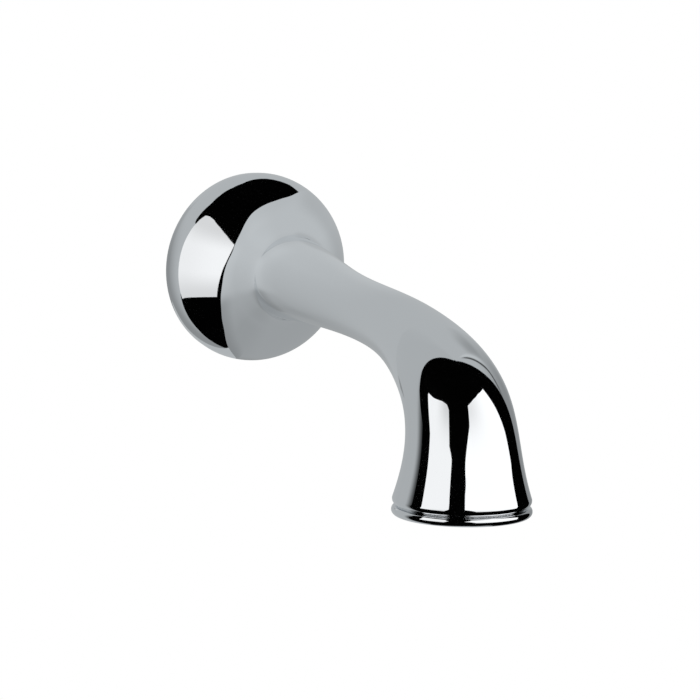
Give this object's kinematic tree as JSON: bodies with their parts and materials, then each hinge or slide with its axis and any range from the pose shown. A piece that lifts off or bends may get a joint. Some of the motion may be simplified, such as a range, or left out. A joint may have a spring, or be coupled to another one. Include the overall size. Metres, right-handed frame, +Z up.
{
  "type": "wall-mounted bath spout",
  "caption": "Wall-mounted bath spout with a domed round flange, a drooping tapered tube and a bell-shaped outlet ringed by a bead.",
  "frame": {"origin": "on the inlet's axis, in the plane of the wall that the flange's rim rests on", "axes": "+Y points into the wall along the inlet thread, the spout reaches towards -Y, +Z is up, +X is to the right seen from the front"},
  "size_m": [0.0708, 0.2108, 0.1004],
  "materials": {
    "chrome_plate": "polished chrome plate over cast brass",
    "chrome_ring": "polished chrome plate over turned brass",
    "raw_brass": "turned, unplated",
    "fibre": "pressed red fibre",
    "black_rubber": "moulded",
    "white_acetal": "moulded",
    "steel_wire": "woven stainless wire"
  },
  "bodies": {
    "root": {"spout_body": "chrome_plate", "wall_connector": "raw_brass", "fibre_washer": "fibre", "rim_seal": "black_rubber", "outlet_ring": "chrome_ring", "outlet_gasket": "black_rubber", "distributor": "white_acetal", "gauze": "steel_wire", "honeycomb": "white_acetal"}
  },
  "joints": []
}
